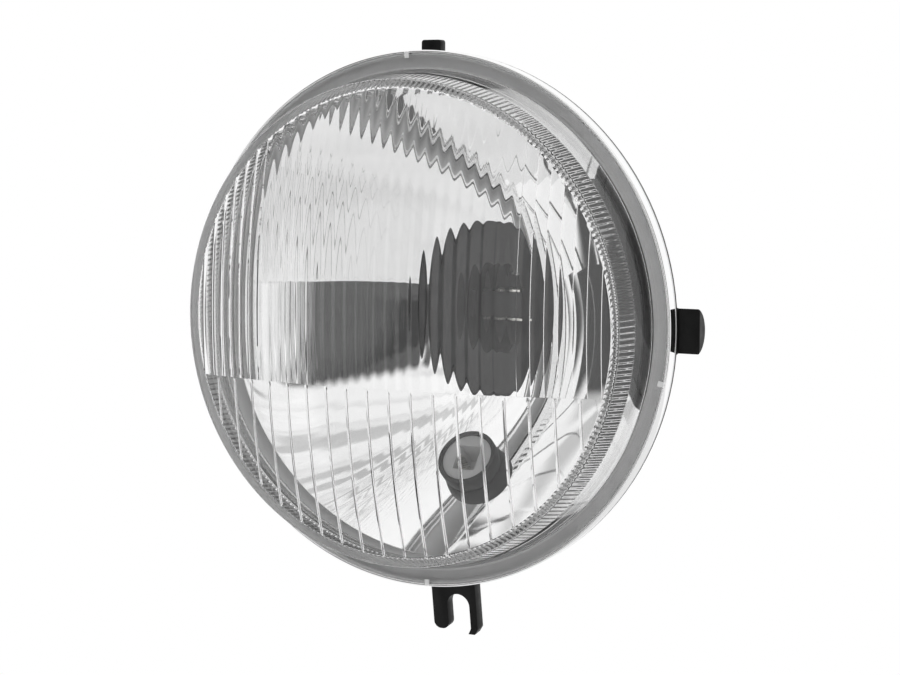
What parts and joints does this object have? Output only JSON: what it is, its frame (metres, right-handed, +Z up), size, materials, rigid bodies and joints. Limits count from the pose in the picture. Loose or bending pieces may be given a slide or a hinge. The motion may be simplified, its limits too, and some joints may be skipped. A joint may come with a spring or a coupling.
{
  "type": "motorbike headlight reflector insert",
  "caption": "Round headlight insert: fluted domed glass lens on a bright bowl, black ring with side pivot lugs, top tab and bottom adjuster fork, empty bulb and pilot sockets.",
  "frame": {"origin": "where the lamp axis crosses the pivot axis of the two side lugs, 4.1 mm behind the rim's lip", "axes": "+X along the pivot axis, +Y backwards along the lamp axis, +Z up; the lens faces -Y"},
  "size_m": [0.1616, 0.1144, 0.1719],
  "materials": {
    "bright_steel": "vacuum-brightened pressed steel, mirror smooth",
    "lens_glass": "clear pressed glass, polished outside, fluted inside",
    "sealant": "pale grey cured sealant",
    "black_plastic": "satin black moulding",
    "holder_plastic": "dark moulded thermoset",
    "gasket_rubber": "soft black rubber",
    "tinned_brass": "tin plate, satin",
    "grommet_rubber": "black rubber",
    "socket_plastic": "grey moulded plastic"
  },
  "bodies": {
    "root": {"reflector": "bright_steel", "front_lens": "lens_glass", "lens_sealant": "sealant", "mounting_ring": "black_plastic", "bulb_holder": "holder_plastic", "contact_carrier": "holder_plastic", "neck_gasket": "gasket_rubber", "upper_contact": "tinned_brass", "lower_contact": "tinned_brass", "dip_terminal": "tinned_brass", "main_terminal": "tinned_brass", "earth_terminal": "tinned_brass", "pilot_contact_left": "tinned_brass", "pilot_contact_right": "tinned_brass", "pilot_grommet": "grommet_rubber", "pilot_socket": "socket_plastic"}
  },
  "joints": []
}
